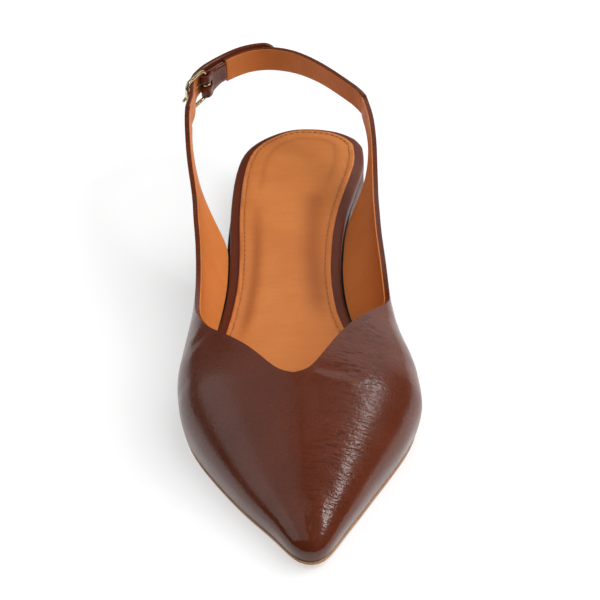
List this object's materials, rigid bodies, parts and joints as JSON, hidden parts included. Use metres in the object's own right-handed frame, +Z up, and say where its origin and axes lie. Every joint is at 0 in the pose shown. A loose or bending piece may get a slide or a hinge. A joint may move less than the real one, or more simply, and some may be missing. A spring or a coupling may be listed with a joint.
{
  "type": "slingback shoe",
  "caption": "Pointed flat slingback shoe in brown leather with a low block heel, sweetheart topline and a buckled heel strap, for the right foot.",
  "frame": {"origin": "centre of the bounding box, on the floor plane", "axes": "+Y runs from the toe to the back of the heel, +X to the medial side, +Z up"},
  "size_m": [0.089, 0.2734, 0.0541],
  "materials": {
    "upper": "smooth brown leather, cognac lining",
    "billet_strap": "smooth brown leather, stitched edges",
    "sling_strap": "brown outside, cognac inside",
    "buckle_loop": "dark brown leather",
    "buckle_frame": "polished pale gold",
    "buckle_prong": "polished pale gold",
    "insole": "tan leather sock with edge stitch",
    "footbed_rim": "dark brown wrapped leather edge",
    "outsole": "tan sole leather",
    "heel_block": "dark brown wrapped block",
    "heel_top_piece": "matt dark olive brown rubber"
  },
  "bodies": {
    "root": {"upper": "upper", "billet_strap": "billet_strap", "sling_strap": "sling_strap", "buckle_loop": "buckle_loop", "buckle_frame": "buckle_frame", "buckle_prong": "buckle_prong", "insole": "insole", "footbed_rim": "footbed_rim", "outsole": "outsole", "heel_block": "heel_block", "heel_top_piece": "heel_top_piece"}
  },
  "joints": []
}
